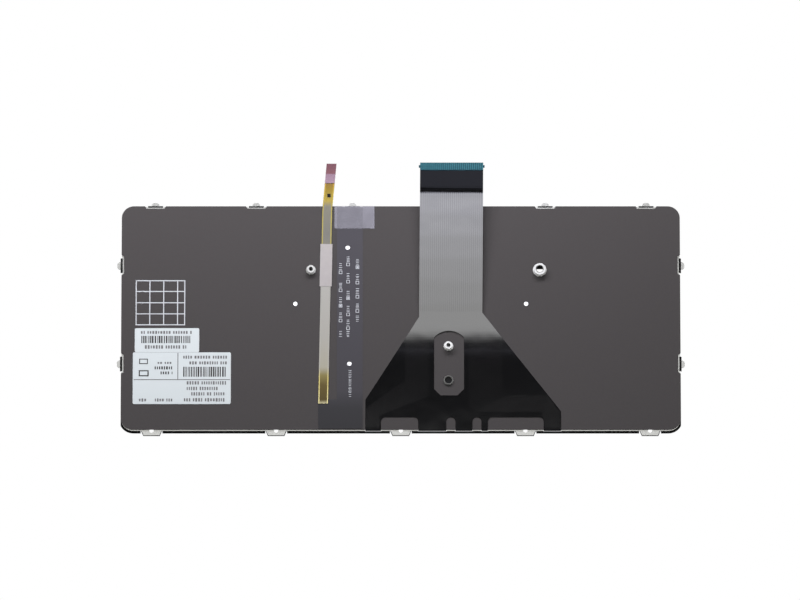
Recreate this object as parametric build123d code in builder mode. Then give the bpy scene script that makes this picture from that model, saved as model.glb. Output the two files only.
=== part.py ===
from build123d import *

import os
from math import asin, atan2, cos, degrees, radians, sin, tan
from typing import NamedTuple

# A backlit laptop keyboard module, lying key side down with its back up.
# +Z points out of the back, +Y towards the function row and the free ends of the flat cables.
# The key tops lie on z = 0, and the origin is the middle of the footprint, cable ends included.
# Lengths are millimetres. Places on the back are measured from the middle of the back film.

os.makedirs("parts", exist_ok=True)

# Key field
FIELD_UNITS = 15.0  # key units in a row
KEY_PITCH = 18.7  # along a row
ROW_PITCH = 18.0
FUNCTION_ROW_PITCH = 11.5
KEY_GAP = 2.7  # between two keycaps at their rims
ARROW_GAP = 0.8  # between the two half keys of the arrow stack
KEY_TRAVEL = 1.5

# Keycap
KEYCAP_HEIGHT = 2.3
KEYCAP_TOP = 0.9  # wall under the finger
KEYCAP_WALL = 0.9
KEYCAP_CORNER = 1.1
KEYCAP_TAPER = 8.0  # degrees

# Layers, from the keys to the back
PRESSED_CLEARANCE = 0.15  # between a pressed keycap's rim and the membrane
MEMBRANE_THICKNESS = 0.25
PLATE_THICKNESS = 0.4
GUIDE_THICKNESS = 0.3
REFLECTOR_THICKNESS = 0.1
FILM_THICKNESS = 0.1

# Back film, the outline that the other layers follow
FILM_WIDTH = 282.0
FILM_HEIGHT = 116.6
FILM_CORNER = 6.2
FIELD_TOP_MARGIN = 3.8  # film edge to the function row's pitch line
LAYER_INSET = 1.6  # light guide and reflector, inside the film's edge
MEMBRANE_INSET = 2.0
PLATE_INSET = 0.2  # plate inside the film's edge, at the sides and at the top
PLATE_LIP = 1.5  # plate past the film's edge, along the bottom
RIM_WIDTH = 1.0  # outer part of that lip, turned down as far as it is wide
EDGE_LAND = 0.1  # upright edge left under a sloping one

# Screw ears along the bottom edge of the plate
EAR_INSET = 15.6  # middle of an outer ear to the film's side
EAR_COUNT = 5
EAR_ROOT = 11.0
EAR_TIP = 8.3
EAR_REACH = 3.1
EAR_HOLE_RADIUS = 1.1
EAR_HOLE_SETBACK = 0.3  # hole centre past the film's edge

# Stepped hook tabs along the other three edges
TOP_TAB_X = (24.4, 73.0, 124.0)  # on both sides of the middle
SIDE_TAB_Y = (27.5, -23.8)
TAB_BASE = 7.6
TAB_BASE_REACH = 0.5
TAB_TONGUE = 3.8
TAB_REACH = 2.1
TAB_TONGUE_CORNER = 0.9
TAB_STEP = 1.0  # tab face below the plate
NOTCH_MOUTH = 10.6
NOTCH_FLOOR = 9.1
NOTCH_DEPTH = 1.25
NOTCH_BORDER = 0.6  # plate left showing inside the film's notch

# Threaded bosses that stand on the plate, and the collar drawn up from the plate
BOSS_X = (-45.4, 70.1)
WINDOW_BOSS_X = 24.0
WINDOW_BOSS_Y = (-14.8, -32.6)
BOSS_HEIGHT = 2.0  # above the film
BOSS_RADIUS = 2.0
BOSS_BORE = 1.03
LARGE_BOSS_RADIUS = 3.0
LARGE_BOSS_BORE = 1.65
LARGE_BOSS_COUNTERSINK = 0.35
BOSS_SIDES = 24
LARGE_BOSS_PASSAGE = 1.85  # hole under the large boss, for a long screw
EYELET_RADIUS = 2.35
EYELET_BORE = 1.9
EYELET_HEIGHT = 0.7
COLLAR_EXTRA = 0.3  # foot collar past the boss
COLLAR_HEIGHT = 0.5  # above the film
BOSS_CLEARANCE = 0.15
SIGHT_HOLE_X = (-53.2, 63.2)
SIGHT_HOLE_RADIUS = 1.1
HOLE_SIDES = 10  # plain punched holes that show
HIDDEN_SIDES = 4  # clearance holes inside the stack

# Main tail of the membrane
TAIL_THICKNESS = 0.2
TAIL_LEFT = 9.2
TAIL_WIDTH = 31.9
TAIL_TIP = 80.5
TAIL_LEAN = 0.6  # sideways drift of the free end
TAIL_SHOULDERS = (0.2, 2.4)
TAIL_FEET_X = (-17.8, 80.6)
TAIL_FEET_RISE = (15.5, 9.6)  # above the film's bottom edge
TAIL_LIFT_START = -13.0  # where the tail leaves the back
TAIL_LIFT = 3.6  # degrees
TAIL_CREST = 63.5
TAIL_DROOP = -11.0  # degrees, past the crest
TAIL_LIFT_RADIUS = 90.0
TAIL_CREST_RADIUS = 22.0
BEND_CHORDS = 4
CORNER_CHORDS = 3
FOLD_RADIUS = 0.35
FOLD_GAP = 0.3  # film edge to the fold
FOLD_CLEARANCE = 0.15  # fold to the plate's rim
SLOT_CLEARANCE = 0.2  # tail to the sides of the plate's slots
WINDOW_X = 24.3
WINDOW_WIDTH = 15.1
WINDOW_TOP = -10.4
WINDOW_CROWN = 3.5
WINDOW_BOTTOM = -37.2
WINDOW_CHAMFER = 3.3
BRIDGE_DEPTH = 6.5  # from the film's bottom edge
BRIDGES = ((-10.0, 8.8), (22.9, 27.5), (36.0, 40.6), (43.8, 71.9))
BRIDGE_CORNER = 2.2

# Stiffener on the main tail's end
STIFFENER_LENGTH = 4.3
STIFFENER_THICKNESS = 0.2
STIFFENER_EAR = 0.7
STIFFENER_EAR_LENGTH = 1.4

# Backlight flex on the back, with its foot, its light-emitting diodes and its tape
FLEX_THICKNESS = 0.12
FLEX_X = (-32.2, -19.2)
FLEX_FOOT_X = -41.6
FLEX_FOOT_DEPTH = 15.7  # from the film's bottom edge
FLEX_MARGIN = 0.5  # film edge to the ends of the flex
FLEX_HOLES = ((-26.8, 36.7), (-25.9, -23.9))
FLEX_HOLE_RADIUS = 1.15
LED_COUNT = 4
LED_PITCH = 5.2
LED_LENGTH = 3.0
LED_WIDTH = 1.0
LED_CLEARANCE = 0.1
LED_RISE = 6.3  # above the film's bottom edge
TAPE_X = (-33.5, -13.3)
TAPE_LENGTH = 11.7
TAPE_THICKNESS = 0.06

# Backlight ribbon cable
RIBBON_ROUTE = ((-39.1, -44.8), (-37.2, 56.0), (-35.0, 80.0))  # foot, turn, free end
RIBBON_THICKNESS = 0.22
RIBBON_WIDTH = 5.0
RIBBON_LIFT_START = 51.0
RIBBON_LIFT = 4.0  # degrees
RIBBON_BEND_RADIUS = 60.0
RIBBON_END_LENGTH = 10.0
RIBBON_END_THICKNESS = 0.15
WRAP_WIDTH = 6.1
WRAP_Y = (16.3, 38.4)
WRAP_THICKNESS = 0.08

# Paper labels
LABEL_THICKNESS = 0.1
UPPER_LABEL = (6.9, 40.3, 32.5, 12.5)  # inset and rise from the film's corner, width, height
LOWER_LABEL = (6.0, 13.3, 49.4, 26.9)
LABEL_CORNER = 0.5

# Key mechanism
DOME_RADIUS = 2.4
DOME_CROWN_RADIUS = 1.3
DOME_SIDES = 6
LINK_THICKNESS = 0.8
LINK_BAR = 1.1
LINK_CLEARANCE = 0.12  # link ends to the keycap and to the membrane
OUTER_LINK = (12.6, 10.4)  # along X, along Y
INNER_LINK = (9.6, 8.0)
SPACE_LINK_X = 24.0  # the space bar has a pair of links on each side

# Wire that keeps the space bar level
WIRE_RADIUS = 0.35
WIRE_LENGTH = 88.0
WIRE_ARM = 5.2
WIRE_END = 2.0
WIRE_SIDES = 8
WIRE_Y = -5.9  # wire's long run, from the middle of the space bar
WIRE_CLEARANCE = 0.3  # wire to the keycap
WIRE_PIVOT_DROP = 0.3  # pivot's clearance to the membrane

# Levels worked out from the layers
MEMBRANE_Z = KEYCAP_HEIGHT + KEY_TRAVEL + PRESSED_CLEARANCE
PLATE_Z = MEMBRANE_Z + MEMBRANE_THICKNESS
GUIDE_Z = PLATE_Z + PLATE_THICKNESS
REFLECTOR_Z = GUIDE_Z + GUIDE_THICKNESS
FILM_Z = REFLECTOR_Z + REFLECTOR_THICKNESS
BACK_Z = FILM_Z + FILM_THICKNESS
FLEX_TOP = BACK_Z + FLEX_THICKNESS
TAB_Z = PLATE_Z + PLATE_THICKNESS - TAB_STEP - PLATE_THICKNESS

# Edges of the film, and the place of its middle in the footprint
TOP_EDGE = FILM_HEIGHT / 2
BOTTOM_EDGE = -FILM_HEIGHT / 2
SIDE_EDGE = FILM_WIDTH / 2
PLATE_Y = (FILM_HEIGHT / 2 + EAR_REACH - TAIL_TIP) / 2
TAIL_RIGHT = TAIL_LEFT + TAIL_WIDTH
TAIL_FEET_Y = [BOTTOM_EDGE + rise for rise in TAIL_FEET_RISE]
BRIDGE_TOP = BOTTOM_EDGE + BRIDGE_DEPTH
FLEX_FOOT_TOP = BOTTOM_EDGE + FLEX_FOOT_DEPTH
LED_Y = BOTTOM_EDGE + LED_RISE
FOLD_Y = BOTTOM_EDGE - FOLD_GAP - TAIL_THICKNESS / 2


def level(z):
    """A plane parallel to the back at height z, centred on the film."""
    return Plane((0, PLATE_Y, z))


def write(builder, name):
    """Names a finished piece and writes its STEP file."""
    builder.part.label = name
    export_step(builder.part, f"parts/{name}.step")


# Key layout, each row from the typist's left, with each key's width in key units
class Key(NamedTuple):
    name: str
    x: float
    y: float
    width: float
    depth: float


def single(names):
    return [(name, 1.0) for name in names]


FUNCTION_ROW = single(["escape", *(f"f{n}" for n in range(1, 13)), "print", "delete"])
NUMBER_ROW = single(["grave", *"1234567890", "minus", "equals"]) + [("backspace", 2.0)]
UPPER_ROW = [("tab", 1.5), *single([*"qwertyuiop", "left_bracket", "right_bracket"]), ("backslash", 1.5)]
HOME_ROW = [("caps", 1.75), *single([*"asdfghjkl", "semicolon", "quote"]), ("enter", 2.25)]
LOWER_ROW = [("left_shift", 2.25), *single([*"zxcvbnm", "comma", "stop", "slash"]), ("right_shift", 2.75)]
SPACE = "space"
ARROW_STACK = ("arrow_up", "arrow_down")
BOTTOM_ROW = [
    ("left_control", 1.25),
    *single(["fn", "system", "left_alt"]),
    (SPACE, 5.75),
    *single(["right_alt", "right_control", "arrow_left", ARROW_STACK, "arrow_right"]),
]

FIELD_TOP = TOP_EDGE - FIELD_TOP_MARGIN
ROW_LINES = [FIELD_TOP - FUNCTION_ROW_PITCH - n * ROW_PITCH for n in range(6)]  # gaps under the rows


def lay_row(row, line, pitch):
    """The keys of one row that stands on a pitch line, placed from +X to -X as the back shows them."""
    keys = []
    edge = FIELD_UNITS * KEY_PITCH / 2
    for name, units in row:
        x = edge - units * KEY_PITCH / 2
        y = line + pitch / 2
        width = units * KEY_PITCH - KEY_GAP
        depth = pitch - KEY_GAP
        if name == ARROW_STACK:
            half = (depth - ARROW_GAP) / 2
            shift = (half + ARROW_GAP) / 2
            keys += [Key(name[0], x, y + shift, width, half), Key(name[1], x, y - shift, width, half)]
        else:
            keys.append(Key(name, x, y, width, depth))
        edge -= units * KEY_PITCH
    return keys


function_keys = lay_row(FUNCTION_ROW, ROW_LINES[0], FUNCTION_ROW_PITCH)
number_keys = lay_row(NUMBER_ROW, ROW_LINES[1], ROW_PITCH)
letter_keys = [
    key
    for row, line in zip((UPPER_ROW, HOME_ROW, LOWER_ROW), ROW_LINES[2:5])
    for key in lay_row(row, line, ROW_PITCH)
]
bottom_keys = lay_row(BOTTOM_ROW, ROW_LINES[5], ROW_PITCH)
space_bar = next(key for key in bottom_keys if key.name == SPACE)
moving_keys = [*letter_keys, space_bar]
fixed_keys = [*function_keys, *number_keys, *(key for key in bottom_keys if key is not space_bar)]
all_keys = [*moving_keys, *fixed_keys]

# Bosses and sight holes sit on the gaps between the rows
BOSS_Y = ROW_LINES[1]
SIGHT_HOLE_Y = ROW_LINES[2] + 0.3
SMALL_BOSSES = ((BOSS_X[0], BOSS_Y), (WINDOW_BOSS_X, WINDOW_BOSS_Y[0]))
LARGE_BOSS = (BOSS_X[1], BOSS_Y)
EYELET = (WINDOW_BOSS_X, WINDOW_BOSS_Y[1])
SIGHT_HOLES = [(x, SIGHT_HOLE_Y) for x in SIGHT_HOLE_X]
EAR_PITCH = (FILM_WIDTH - 2 * EAR_INSET) / (EAR_COUNT - 1)
EAR_PLACES = [(EAR_INSET - SIDE_EDGE + n * EAR_PITCH, BOTTOM_EDGE) for n in range(EAR_COUNT)]
TAB_PLACES = [
    *(Location((side * x, TOP_EDGE, 0)) for x in TOP_TAB_X for side in (-1, 1)),
    *(Location((side * SIDE_EDGE, y, 0), (0, 0, -90 * side)) for y in SIDE_TAB_Y for side in (-1, 1)),
]


def cut_hole(radius, sides):
    """A many-sided hole that a circle of this radius just fits."""
    RegularPolygon(radius, sides, major_radius=False, mode=Mode.SUBTRACT)


def cut_boss_holes(sides):
    """Holes that let the bosses and the eyelet through a layer over the plate."""
    with Locations(*SMALL_BOSSES):
        cut_hole(BOSS_RADIUS + COLLAR_EXTRA + BOSS_CLEARANCE, sides)
    with Locations(LARGE_BOSS):
        cut_hole(LARGE_BOSS_RADIUS + COLLAR_EXTRA + BOSS_CLEARANCE, sides)
    with Locations(EYELET):
        cut_hole(EYELET_RADIUS + BOSS_CLEARANCE, sides)


def notch(depth, border):
    """Trapezoid bite in an edge at a hook tab, open outwards along the local +Y."""
    mouth = NOTCH_MOUTH / 2 - border
    floor = NOTCH_FLOOR / 2 - border
    past = PLATE_INSET + TAB_REACH
    points = ((-mouth, past), (-mouth, 0), (-floor, -depth), (floor, -depth), (mouth, 0), (mouth, past))
    Polygon(*points, align=None, mode=Mode.SUBTRACT)


# Keycaps: tapered towards the finger, with cut corners, and hollow where they move
def keycap(key, hollow):
    with BuildPart() as cap:
        with BuildSketch(level(0)) as outline:
            with Locations((key.x, key.y)):
                Rectangle(key.width, key.depth)
            chamfer(outline.vertices(), KEYCAP_CORNER)
        extrude(amount=KEYCAP_HEIGHT)
        draft(cap.faces().filter_by(Axis.Z, reverse=True), level(KEYCAP_HEIGHT), -KEYCAP_TAPER)
        if hollow:
            with BuildSketch(level(KEYCAP_TOP)):
                with Locations((key.x, key.y)):
                    Rectangle(key.width - 2 * KEYCAP_WALL, key.depth - 2 * KEYCAP_WALL)
            extrude(amount=KEYCAP_HEIGHT - KEYCAP_TOP, mode=Mode.SUBTRACT)
    return cap


for moving_key in moving_keys:
    write(keycap(moving_key, True), f"key_{moving_key.name}")

fixed_caps = [keycap(key, False).part for key in fixed_keys]
with BuildPart() as fixed_keycaps:
    add(fixed_caps)
write(fixed_keycaps, "fixed_keycaps")

# Rubber domes: one under each key, standing on the membrane and holding the keycap up
DOME_TAPER = degrees(atan2(DOME_RADIUS - DOME_CROWN_RADIUS, MEMBRANE_Z - KEYCAP_TOP))


def rubber_dome(crown):
    """One dome on the middle line, from the keycap at the crown's height to the membrane."""
    with BuildPart() as dome:
        with BuildSketch(level(crown)):
            RegularPolygon(DOME_RADIUS, DOME_SIDES, major_radius=False)
        extrude(amount=MEMBRANE_Z - crown)
        draft(dome.faces().filter_by(Axis.Z, reverse=True), level(MEMBRANE_Z), -DOME_TAPER)
    return dome.part


tall_dome = rubber_dome(KEYCAP_TOP)
short_dome = rubber_dome(KEYCAP_HEIGHT)
with BuildPart() as rubber_domes:
    with Locations(*((key.x, key.y) for key in moving_keys)):
        add(tall_dome)
    with Locations(*((key.x, key.y) for key in fixed_keys)):
        add(short_dome)
write(rubber_domes, "rubber_domes")

# Scissor links: two crossed frames under each moving key, the inner one tilted against the outer one
LINK_Z = (KEYCAP_TOP + MEMBRANE_Z) / 2
LINK_RISE = (MEMBRANE_Z - KEYCAP_TOP) / 2 - LINK_CLEARANCE - LINK_THICKNESS / 2
link_places = [(key.x, key.y) for key in letter_keys]
link_places += [(space_bar.x + side * SPACE_LINK_X, space_bar.y) for side in (-1, 1)]


def scissor_links(size, lean, front_bar):
    """Frames on the key places, all tilted one way, with or without a bar across the front."""
    width, length = size
    opening = length - LINK_BAR - front_bar
    slope = lean * asin(LINK_RISE / (length / 2))
    with BuildPart() as links:
        for x, y in link_places:
            tilted = Plane((x, PLATE_Y + y, LINK_Z), x_dir=(1, 0, 0), z_dir=(0, -sin(slope), cos(slope)))
            with BuildSketch(tilted):
                Rectangle(width, length)
                with Locations((0, front_bar - length / 2)):
                    opening_width = width - 2 * LINK_BAR
                    Rectangle(opening_width, opening, align=(Align.CENTER, Align.MIN), mode=Mode.SUBTRACT)
        extrude(amount=LINK_THICKNESS / 2, both=True)
    return links


write(scissor_links(OUTER_LINK, 1, 0), "scissor_outer_links")
write(scissor_links(INNER_LINK, -1, LINK_BAR), "scissor_inner_links")

# Stabiliser wire: its ends turn in the plate and its long run carries the space bar
WIRE_LOW = KEYCAP_TOP + WIRE_CLEARANCE + WIRE_RADIUS
WIRE_PIVOT_Z = MEMBRANE_Z - WIRE_PIVOT_DROP - WIRE_RADIUS
WIRE_PIVOT_Y = space_bar.y + WIRE_Y + (WIRE_ARM**2 - (WIRE_PIVOT_Z - WIRE_LOW) ** 2) ** 0.5
with BuildPart() as stabiliser_wire:
    with BuildLine() as wire_route:
        reach = WIRE_LENGTH / 2
        low_y = PLATE_Y + space_bar.y + WIRE_Y
        high_y = PLATE_Y + WIRE_PIVOT_Y
        Polyline(
            (space_bar.x - reach + WIRE_END, high_y, WIRE_PIVOT_Z),
            (space_bar.x - reach, high_y, WIRE_PIVOT_Z),
            (space_bar.x - reach, low_y, WIRE_LOW),
            (space_bar.x + reach, low_y, WIRE_LOW),
            (space_bar.x + reach, high_y, WIRE_PIVOT_Z),
            (space_bar.x + reach - WIRE_END, high_y, WIRE_PIVOT_Z),
        )
    with BuildSketch(Plane(wire_route.line @ 0, z_dir=wire_route.line % 0)):
        RegularPolygon(WIRE_RADIUS, WIRE_SIDES, major_radius=False)
    sweep(transition=Transition.RIGHT)
write(stabiliser_wire, "stabiliser_wire")


# Membrane: the switch sheet under the domes, with its main tail folded up through the plate and over the back
TAIL_Z = BACK_Z + TAIL_THICKNESS / 2


def bend(start, angle, turn, radius):
    """Corner points of a sheet that turns through an angle, as chords of its radius."""
    points = []
    y, z = start
    for n in range(BEND_CHORDS):
        heading = radians(angle + turn * (n + 0.5) / BEND_CHORDS)
        chord = 2 * radius * sin(radians(abs(turn)) / 2 / BEND_CHORDS)
        y += chord * cos(heading)
        z += chord * sin(heading)
        points.append((y, z))
    return points


def tail_route():
    """Middle of the tail's thickness, from the switch sheet round the fold to the free end."""
    start_z = MEMBRANE_Z + TAIL_THICKNESS / 2
    points = [
        (BRIDGE_TOP + BRIDGE_CORNER, start_z),
        (FOLD_Y + FOLD_RADIUS, start_z),
        (FOLD_Y, start_z + FOLD_RADIUS),
        (FOLD_Y, TAIL_Z - FOLD_RADIUS),
        (FOLD_Y + FOLD_RADIUS, TAIL_Z),
        (TAIL_LIFT_START, TAIL_Z),
    ]
    points += bend(points[-1], 0, TAIL_LIFT, TAIL_LIFT_RADIUS)
    y, z = points[-1]
    points.append((TAIL_CREST, z + (TAIL_CREST - y) * tan(radians(TAIL_LIFT))))
    points += bend(points[-1], TAIL_LIFT, TAIL_DROOP - TAIL_LIFT, TAIL_CREST_RADIUS)
    y, z = points[-1]
    points.append((TAIL_TIP, z + (TAIL_TIP - y) * tan(radians(TAIL_DROOP))))
    return points


def band(points, thickness):
    """Outline of a strip of even thickness along a line, with mitred corners."""
    sides = ([], [])
    for n, (y, z) in enumerate(points):
        before = points[max(n - 1, 0)]
        after = points[min(n + 1, len(points) - 1)]
        into = Vector(y - before[0], z - before[1])
        out = Vector(after[0] - y, after[1] - z)
        into = into.normalized() if n else out.normalized()
        out = out.normalized() if n < len(points) - 1 else into
        across = Vector(-into.Y - out.Y, into.X + out.X).normalized()
        reach = thickness / 2 / (across.X * -into.Y + across.Y * into.X)
        sides[0].append((y + across.X * reach, z + across.Y * reach))
        sides[1].append((y - across.X * reach, z - across.Y * reach))
    return sides[0] + sides[1][::-1]


tail_points = tail_route()


def tail_outline():
    """Plan of the tail: straight tongue, shoulders, wide foot, boss window and the plate's bridges."""
    below = FOLD_Y - TAIL_THICKNESS
    left, right = WINDOW_X - WINDOW_WIDTH / 2, WINDOW_X + WINDOW_WIDTH / 2
    floor = WINDOW_BOTTOM - WINDOW_CHAMFER
    with BuildSketch() as outline:
        Polygon(
            (TAIL_LEFT + TAIL_LEAN, TAIL_TIP + TAIL_THICKNESS),
            (TAIL_LEFT, TAIL_SHOULDERS[0]),
            (TAIL_FEET_X[0], TAIL_FEET_Y[0]),
            (TAIL_FEET_X[0], below),
            (TAIL_FEET_X[1], below),
            (TAIL_FEET_X[1], TAIL_FEET_Y[1]),
            (TAIL_RIGHT, TAIL_SHOULDERS[1]),
            (TAIL_RIGHT + TAIL_LEAN, TAIL_TIP + TAIL_THICKNESS),
            align=None,
        )
        with BuildLine():
            ThreePointArc((left, WINDOW_TOP), (WINDOW_X, WINDOW_TOP + WINDOW_CROWN), (right, WINDOW_TOP))
            Polyline(
                (right, WINDOW_TOP),
                (right, WINDOW_BOTTOM),
                (right - WINDOW_CHAMFER, floor),
                (left + WINDOW_CHAMFER, floor),
                (left, WINDOW_BOTTOM),
                (left, WINDOW_TOP),
            )
        make_face(mode=Mode.SUBTRACT)
        for start, end in BRIDGES:
            corner = min(BRIDGE_CORNER, (end - start) / 2)
            turns = [radians(90 * n / CORNER_CHORDS) for n in range(CORNER_CHORDS + 1)]
            arch = [(end - corner + corner * cos(t), BRIDGE_TOP - corner + corner * sin(t)) for t in turns]
            arch += [(start + end - x, y) for x, y in arch[::-1]]
            Polygon((end, below), *arch, (start, below), align=None, mode=Mode.SUBTRACT)
    return outline.sketch


with BuildPart() as tail:
    with BuildSketch(Plane((0, PLATE_Y, 0), x_dir=(0, 1, 0), z_dir=(1, 0, 0))):
        Polygon(*band(tail_points, TAIL_THICKNESS), align=None)
    extrude(amount=SIDE_EDGE, both=True)
    with BuildSketch(level(0)):
        add(tail_outline())
    extrude(amount=FILM_WIDTH, mode=Mode.INTERSECT)

with BuildPart() as membrane:
    with BuildSketch(level(MEMBRANE_Z)) as sheet:
        sheet_bottom = BRIDGE_TOP
        sheet_top = TOP_EDGE - MEMBRANE_INSET
        with Locations((0, (sheet_top + sheet_bottom) / 2)):
            Rectangle(FILM_WIDTH - 2 * MEMBRANE_INSET, sheet_top - sheet_bottom)
        chamfer(sheet.vertices(), FILM_CORNER - MEMBRANE_INSET)
        with Locations(LARGE_BOSS):
            cut_hole(LARGE_BOSS_PASSAGE, HIDDEN_SIDES)
    extrude(amount=MEMBRANE_THICKNESS)
    add(tail.part)
write(membrane, "membrane")

# Stiffener that keeps the tail's end flat for its socket
tip_y, tip_z = tail_points[-1]
tip_plane = Plane(
    (TAIL_LEFT + TAIL_LEAN + TAIL_WIDTH / 2, PLATE_Y + tip_y, tip_z),
    x_dir=(1, 0, 0),
    z_dir=(0, -sin(radians(TAIL_DROOP)), cos(radians(TAIL_DROOP))),
)
with BuildPart() as tail_stiffener:
    with BuildSketch(tip_plane.offset(TAIL_THICKNESS / 2)):
        Rectangle(TAIL_WIDTH, STIFFENER_LENGTH, align=(Align.CENTER, Align.MAX))
        with Locations((0, -STIFFENER_LENGTH / 2)):
            Rectangle(TAIL_WIDTH + 2 * STIFFENER_EAR, STIFFENER_EAR_LENGTH)
    extrude(amount=STIFFENER_THICKNESS)
write(tail_stiffener, "tail_stiffener")

# Base plate: stamped sheet with bottom ears, stepped hook tabs and slots that let the tail through
def tab_profile():
    """Side view of a tab's sloping step, outwards along +X, with the plate's back at zero."""
    edge = NOTCH_BORDER - NOTCH_DEPTH
    top = ((edge - PLATE_THICKNESS, 0), (edge, 0), (TAB_BASE_REACH, -TAB_STEP))
    return [*top, *((x, z - PLATE_THICKNESS) for x, z in top[::-1])]


SLOT_DEPTH = FOLD_GAP + TAIL_THICKNESS + FOLD_CLEARANCE
PLATE_SIDE = SIDE_EDGE - PLATE_INSET
FLAT_EDGE = BOTTOM_EDGE - PLATE_LIP + RIM_WIDTH
RIM_DEPTH = RIM_WIDTH + PLATE_THICKNESS


# Ear: one of the flat lugs along the bottom edge, with its upper edges broken
with BuildPart() as ear:
    with BuildSketch():
        ear_root = EAR_ROOT / 2
        ear_tip = EAR_TIP / 2
        Polygon((-ear_root, 0), (ear_root, 0), (ear_tip, -EAR_REACH), (-ear_tip, -EAR_REACH), align=None)
    extrude(amount=PLATE_THICKNESS)
    ear_edges = ear.faces().sort_by(Axis.Z)[-1].edges().sort_by(Axis.Y)[:-1]
    chamfer(ear_edges, PLATE_THICKNESS - EDGE_LAND)

tongue_edges = [TAIL_FEET_X[0], *(x for bridge in BRIDGES for x in bridge), TAIL_FEET_X[1]]
with BuildPart() as base_plate:
    with BuildSketch(level(PLATE_Z)):
        with Locations((0, (TOP_EDGE - PLATE_INSET + FLAT_EDGE) / 2)):
            RectangleRounded(2 * PLATE_SIDE, TOP_EDGE - PLATE_INSET - FLAT_EDGE, FILM_CORNER)
        with Locations(*TAB_PLACES):
            notch(NOTCH_DEPTH - NOTCH_BORDER, NOTCH_BORDER)
        with Locations(LARGE_BOSS):
            cut_hole(LARGE_BOSS_PASSAGE, HIDDEN_SIDES)
    extrude(amount=PLATE_THICKNESS)
    with BuildLine(level(GUIDE_Z)) as rim_path:
        corner_x = PLATE_SIDE - FILM_CORNER
        corner_y = FLAT_EDGE + FILM_CORNER
        CenterArc((-corner_x, corner_y), FILM_CORNER, 180, 90)
        Line((-corner_x, FLAT_EDGE), (corner_x, FLAT_EDGE))
        CenterArc((corner_x, corner_y), FILM_CORNER, 270, 90)
    with BuildSketch(Plane(Location(rim_path.line @ 0) * Plane.XZ.location)):
        rim_top = ((0, 0), (-RIM_WIDTH, -RIM_WIDTH))
        Polygon(*rim_top, *((x, z - PLATE_THICKNESS) for x, z in rim_top[::-1]), align=None)
    sweep()
    with BuildSketch(level(GUIDE_Z)):
        with Locations(*((x, FLAT_EDGE) for x, _ in EAR_PLACES)):
            Rectangle(EAR_ROOT, RIM_WIDTH, align=(Align.CENTER, Align.MAX))
        for side, align in ((SIDE_EDGE, Align.MIN), (-SIDE_EDGE, Align.MAX)):
            with Locations((side, FLAT_EDGE)):
                Rectangle(RIM_WIDTH, 2 * (FILM_CORNER + RIM_WIDTH), align=(align, Align.CENTER))
    extrude(amount=-RIM_DEPTH, mode=Mode.SUBTRACT)
    with Locations(*(level(PLATE_Z).location * Pos(*place) for place in EAR_PLACES)):
        add(ear.part)
    with BuildSketch(level(GUIDE_Z)):
        for start, end in zip(tongue_edges[::2], tongue_edges[1::2]):
            with Locations(((start + end) / 2, BOTTOM_EDGE)):
                Rectangle(end - start + 2 * SLOT_CLEARANCE, SLOT_DEPTH, align=(Align.CENTER, Align.MAX))
        with Locations(*((x, y - EAR_HOLE_SETBACK) for x, y in EAR_PLACES)):
            RegularPolygon(EAR_HOLE_RADIUS, HOLE_SIDES, major_radius=False)
    extrude(amount=-RIM_DEPTH, mode=Mode.SUBTRACT)
    for place in TAB_PLACES:
        with BuildSketch(Plane(level(GUIDE_Z).location * place * Plane.YZ.location)):
            Polygon(*tab_profile(), align=None)
        extrude(amount=TAB_BASE / 2, both=True)
    with BuildSketch(level(TAB_Z)):
        with Locations(*TAB_PLACES):
            half = TAB_TONGUE / 2
            shoulder = TAB_REACH - TAB_TONGUE_CORNER
            nose = half - TAB_TONGUE_CORNER
            root = TAB_BASE_REACH
            tongue = ((half, root), (half, shoulder), (nose, TAB_REACH))
            Polygon(*tongue, *((-x, y) for x, y in tongue[::-1]), align=None)
    extrude(amount=PLATE_THICKNESS)
    with BuildSketch(level(GUIDE_Z)):
        with Locations(EYELET):
            RegularPolygon(EYELET_RADIUS, BOSS_SIDES)
            cut_hole(EYELET_BORE, BOSS_SIDES)
    extrude(amount=BACK_Z + EYELET_HEIGHT - GUIDE_Z)
write(base_plate, "base_plate")


# Backlight layers over the plate
def backlight_layer(z, thickness, led_windows):
    with BuildPart() as layer:
        with BuildSketch(level(z)) as shape:
            size = (FILM_WIDTH - 2 * LAYER_INSET, FILM_HEIGHT - 2 * LAYER_INSET)
            Rectangle(*size)
            chamfer(shape.vertices(), FILM_CORNER - LAYER_INSET)
            cut_boss_holes(HIDDEN_SIDES)
            if led_windows:
                cut_led_windows()
        extrude(amount=thickness)
    return layer


LED_X = (FLEX_FOOT_X + FLEX_X[1]) / 2
LED_PLACES = [(LED_X + LED_PITCH * (n - (LED_COUNT - 1) / 2), LED_Y) for n in range(LED_COUNT)]


def cut_led_windows():
    with Locations(*LED_PLACES):
        Rectangle(LED_LENGTH + 2 * LED_CLEARANCE, LED_WIDTH + 2 * LED_CLEARANCE, mode=Mode.SUBTRACT)


write(backlight_layer(GUIDE_Z, GUIDE_THICKNESS, True), "light_guide")
write(backlight_layer(REFLECTOR_Z, REFLECTOR_THICKNESS, True), "reflector_sheet")

# Back film: the black outer skin, bitten away at the hook tabs
with BuildPart() as back_film:
    with BuildSketch(level(FILM_Z)):
        RectangleRounded(FILM_WIDTH, FILM_HEIGHT, FILM_CORNER)
        with Locations(*TAB_PLACES):
            notch(NOTCH_DEPTH, 0)
        cut_boss_holes(HOLE_SIDES)
        cut_led_windows()
        with Locations(*SIGHT_HOLES):
            cut_hole(SIGHT_HOLE_RADIUS, HOLE_SIDES)
        with Locations(*FLEX_HOLES):
            cut_hole(FLEX_HOLE_RADIUS, HOLE_SIDES)
    extrude(amount=FILM_THICKNESS)
write(back_film, "back_film")

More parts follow.
